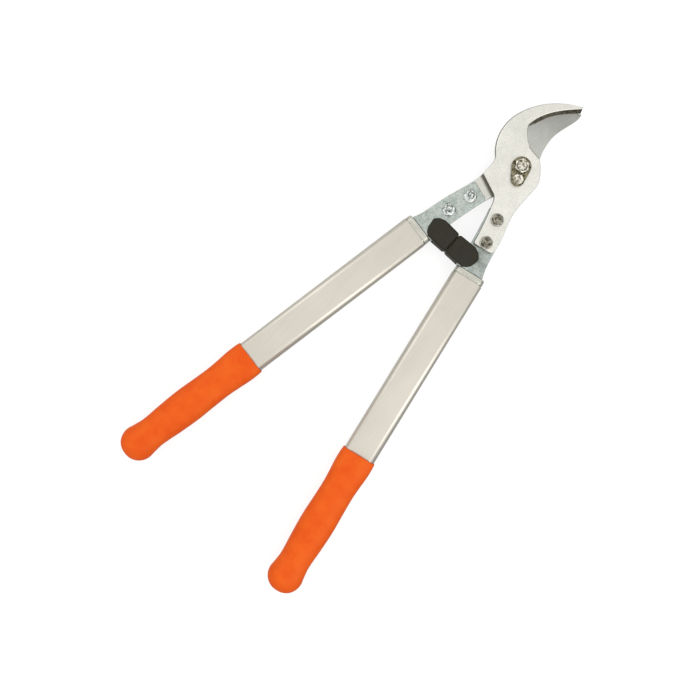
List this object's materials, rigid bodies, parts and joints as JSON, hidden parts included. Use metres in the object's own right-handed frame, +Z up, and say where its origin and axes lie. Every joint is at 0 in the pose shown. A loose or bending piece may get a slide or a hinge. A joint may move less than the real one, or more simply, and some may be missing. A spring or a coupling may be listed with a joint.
{
  "type": "bypass loppers",
  "caption": "Two-handed bypass loppers with a forged hook, a curved cutting blade, flat-sided alloy handles, rubber stops and moulded orange grips.",
  "frame": {"origin": "middle of the footprint, on the surface that the closed tool lies on", "axes": "+Y along the tool towards the jaw tips, +X towards the handle that carries the hook, +Z up, hook side up"},
  "size_m": [0.2514, 0.602, 0.0304],
  "materials": {
    "forged_steel": "satin nickel over forged steel",
    "blade_steel": "ground hardened steel",
    "pivot_steel": "dark oiled steel",
    "bright_steel": "bright turned steel",
    "bolt_steel": "burnished steel",
    "zinc_plate": "bright zinc plate",
    "cast_zinc": "zinc-plated casting, mottled",
    "collar_alloy": "turned, fine parallel lines",
    "bronze": "sintered bronze",
    "anodised_aluminium": "satin clear anodised",
    "black_rubber": "moulded, matt",
    "pin_steel": "plain spring steel",
    "core_plastic": "glass-filled nylon",
    "orange_grip": "soft moulded vinyl, fine grain"
  },
  "bodies": {
    "hook_handle": {"counter_blade": "forged_steel", "pivot_bolt": "pivot_steel", "pivot_head_washer": "pivot_steel", "adjusting_nut": "pivot_steel", "lock_plate": "pivot_steel", "lock_screw": "bright_steel", "hook_bolts": "bolt_steel", "hook_nuts": "zinc_plate", "right_shank": "cast_zinc", "right_collar": "collar_alloy", "right_bumper": "black_rubber", "right_bumper_pin": "pin_steel", "right_tube": "anodised_aluminium", "right_tube_pins": "pin_steel", "right_grip_core": "core_plastic", "right_grip": "orange_grip"},
    "blade_handle": {"cutting_blade": "blade_steel", "pivot_bush": "bronze", "blade_bolts": "bolt_steel", "blade_nuts": "zinc_plate", "left_shank": "cast_zinc", "left_collar": "collar_alloy", "left_bumper": "black_rubber", "left_bumper_pin": "pin_steel", "left_tube": "anodised_aluminium", "left_tube_pins": "pin_steel", "left_grip_core": "core_plastic", "left_grip": "orange_grip"}
  },
  "joints": [
    {"name": "jaw_pivot", "type": "hinge", "parent": "hook_handle", "child": "blade_handle", "pos_m": [0, 0.20998, 0.0146], "axis": [0, 0, -1], "range_deg": [0, 70]}
  ]
}
